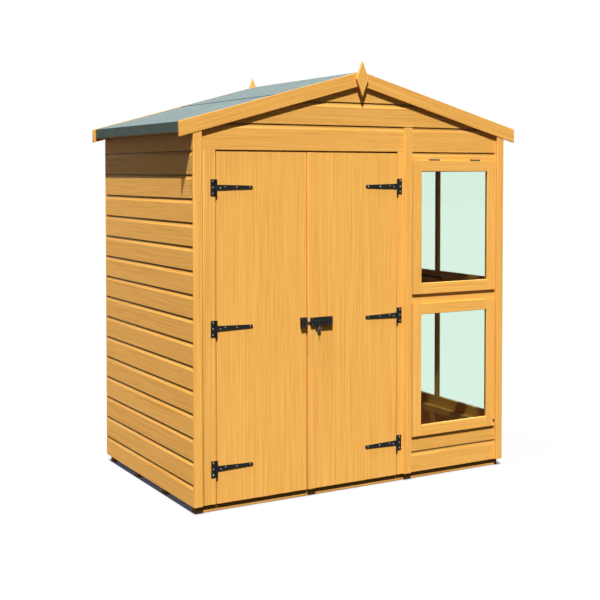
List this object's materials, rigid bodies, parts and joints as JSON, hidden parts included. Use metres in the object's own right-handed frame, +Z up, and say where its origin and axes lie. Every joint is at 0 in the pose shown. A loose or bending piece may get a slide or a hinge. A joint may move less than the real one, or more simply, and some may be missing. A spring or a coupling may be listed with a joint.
{
  "type": "wooden garden shed",
  "caption": "Small apex-roofed wooden garden shed with shiplap walls, double doors on strap hinges, a door lock and glazed lights on two sides.",
  "frame": {"origin": "on the ground, under the middle of the shed", "axes": "+Z up, the doors face -Y, +X to the right of someone facing the doors"},
  "size_m": [1.972, 1.191, 2.1425],
  "materials": {
    "honey_wood": "satin stain",
    "frame_wood": "matt planed",
    "board_wood": "matt sawn",
    "roofing_felt": "mineral grit",
    "black_iron": "satin black",
    "bright_steel": "plated",
    "pale_glass": "clear"
  },
  "bodies": {
    "shed": {"left_wall": "honey_wood", "back_wall": "honey_wood", "right_wall": "honey_wood", "right_window_stiles": "honey_wood", "right_window_rails": "honey_wood", "right_sashes": "honey_wood", "front_jambs": "honey_wood", "front_gable": "honey_wood", "front_window_apron": "honey_wood", "front_window_stiles": "honey_wood", "front_window_rails": "honey_wood", "front_sashes": "honey_wood", "corner_trims": "honey_wood", "front_cover_strip": "honey_wood", "left_bargeboards": "honey_wood", "right_bargeboards": "honey_wood", "finials": "honey_wood", "left_wall_studs": "frame_wood", "left_wall_rails": "frame_wood", "back_wall_studs": "frame_wood", "back_wall_rails": "frame_wood", "right_wall_studs": "frame_wood", "right_wall_rails": "frame_wood", "front_wall_studs": "frame_wood", "front_wall_rails": "frame_wood", "ridge_beam": "frame_wood", "eaves_rails": "frame_wood", "floor_bearers": "board_wood", "floor": "board_wood", "left_roof_boards": "board_wood", "right_roof_boards": "board_wood", "left_roof_felt": "roofing_felt", "right_roof_felt": "roofing_felt", "ridge_felt": "roofing_felt", "hinge_plates": "black_iron", "window_hinges": "bright_steel", "window_glass": "pale_glass"},
    "left_door": {"left_door": "honey_wood", "left_door_ledges": "frame_wood", "left_door_braces": "frame_wood", "left_hinge_straps": "black_iron", "lock_keeper": "black_iron"},
    "right_door": {"right_door": "honey_wood", "right_door_ledges": "frame_wood", "right_door_braces": "frame_wood", "meeting_strip": "honey_wood", "right_hinge_straps": "black_iron", "lock_case": "black_iron", "lock_keys": "bright_steel"},
    "lock_bolt": {"lock_bolt": "bright_steel"}
  },
  "joints": [
    {"name": "left_door_hinge", "type": "hinge", "parent": "shed", "child": "left_door", "pos_m": [-0.7955, -0.5745, 0.86], "axis": [0, 0, -1], "range_deg": [0, 150]},
    {"name": "right_door_hinge", "type": "hinge", "parent": "shed", "child": "right_door", "pos_m": [0.2275, -0.5745, 0.86], "axis": [0, 0, 1], "range_deg": [0, 150]},
    {"name": "lock_bolt_slide", "type": "slide", "parent": "right_door", "child": "lock_bolt", "axis": [-1, 0, 0], "range_m": [0, 0.028]}
  ]
}
